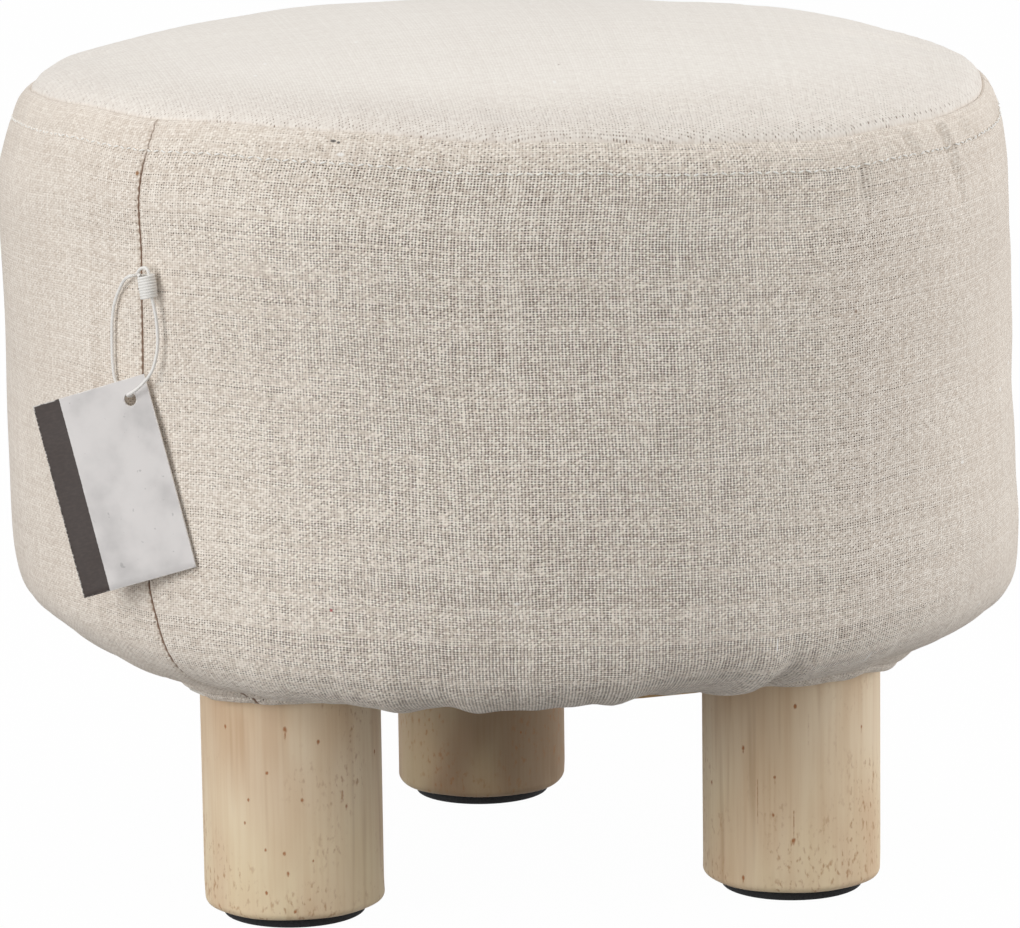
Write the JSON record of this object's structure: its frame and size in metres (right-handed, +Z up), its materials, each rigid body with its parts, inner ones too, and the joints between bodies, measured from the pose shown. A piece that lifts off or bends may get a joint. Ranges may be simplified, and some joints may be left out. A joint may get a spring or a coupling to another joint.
{
  "type": "round padded footstool",
  "caption": "Low round footstool: thick padded drum in a fitted linen cover with a gathered hem, on straight round wooden legs with dark floor pads and a swing tag.",
  "frame": {"origin": "on the floor, under the middle of the seat", "axes": "+Z up, +Y towards the single rear leg, +X to the right seen from the side with two legs"},
  "size_m": [0.2999, 0.2999, 0.257],
  "materials": {
    "linen": "natural undyed linen weave",
    "foam": "soft open foam",
    "plywood": "sanded plywood",
    "fibreboard": "bent hardboard",
    "pine": "pale planed wood",
    "nonwoven": "thin dark non-woven cloth",
    "steel": "zinc plated",
    "felt": "dark matt pad",
    "elastic": "white covered elastic",
    "card": "matt card"
  },
  "bodies": {
    "stool": {"cover_top": "linen", "cover_side_1": "linen", "cover_side_2": "linen", "cover_side_3": "linen", "top_foam": "foam", "side_foam": "foam", "base_board": "plywood", "top_board": "plywood", "drum_wall": "fibreboard", "upright_1": "pine", "upright_2": "pine", "upright_3": "pine", "upright_4": "pine", "upright_5": "pine", "upright_6": "pine", "dust_cover": "nonwoven", "leg_1": "pine", "foot_pad_1": "felt", "hanger_bolt_1": "steel", "tee_nut_1": "steel", "leg_2": "pine", "foot_pad_2": "felt", "hanger_bolt_2": "steel", "tee_nut_2": "steel", "leg_3": "pine", "foot_pad_3": "felt", "hanger_bolt_3": "steel", "tee_nut_3": "steel", "hem_elastic": "elastic"},
    "tag_string": {"tag_cord": "elastic", "tag_knot": "elastic"},
    "tag": {"tag_card": "card"}
  },
  "joints": [
    {"name": "tag_swing", "type": "hinge", "parent": "stool", "child": "tag_string", "pos_m": [-0.119, -0.09131, 0.1992], "axis": [-0.7934, -0.6088, 0], "range_deg": [-60, 60]},
    {"name": "tag_turn", "type": "hinge", "parent": "tag_string", "child": "tag", "pos_m": [-0.12324, -0.09293, 0.1643], "axis": [-0.4911, -0.8644, 0.108], "range_deg": [-40, 0]}
  ]
}
